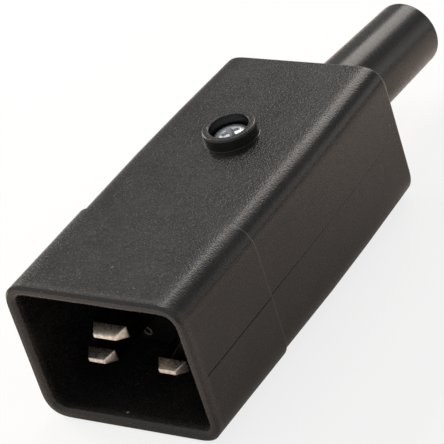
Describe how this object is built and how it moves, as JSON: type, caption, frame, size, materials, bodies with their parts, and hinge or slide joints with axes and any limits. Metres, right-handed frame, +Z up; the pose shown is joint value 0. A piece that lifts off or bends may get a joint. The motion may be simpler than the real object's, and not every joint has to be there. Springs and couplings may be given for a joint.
{
  "type": "iec power plug",
  "caption": "Rewireable in-line power plug: rectangular shroud round flat pins, screw-held insert with pillar terminals and a cord clamp inside, bend sleeve at the back.",
  "frame": {"origin": "centre of the mating rim, in the plane of the shroud's front edge", "axes": "+Y from the mating rim back to the cord sleeve, so the pins point to -Y; +Z up towards the housing screw; +X to the right as seen from the front with the screw up"},
  "size_m": [0.0326, 0.0939, 0.0267],
  "materials": {
    "shell_plastic": "fine spark-eroded texture, black",
    "carrier_plastic": "plain moulded, black",
    "guard_pvc": "smooth satin, black",
    "clamp_plastic": "plain moulded, black",
    "pin_nickel": "nickel plated",
    "zinc_steel": "bright zinc plated"
  },
  "bodies": {
    "root": {"outer_shell": "shell_plastic", "contact_carrier": "carrier_plastic", "cord_guard": "guard_pvc", "cord_clamp": "clamp_plastic", "housing_screw": "zinc_steel", "housing_nut": "zinc_steel", "line_pin": "pin_nickel", "neutral_pin": "pin_nickel", "earth_pin": "pin_nickel", "line_terminal_screw": "zinc_steel", "neutral_terminal_screw": "zinc_steel", "earth_terminal_screw": "zinc_steel", "left_clamp_screw": "zinc_steel", "right_clamp_screw": "zinc_steel"}
  },
  "joints": []
}
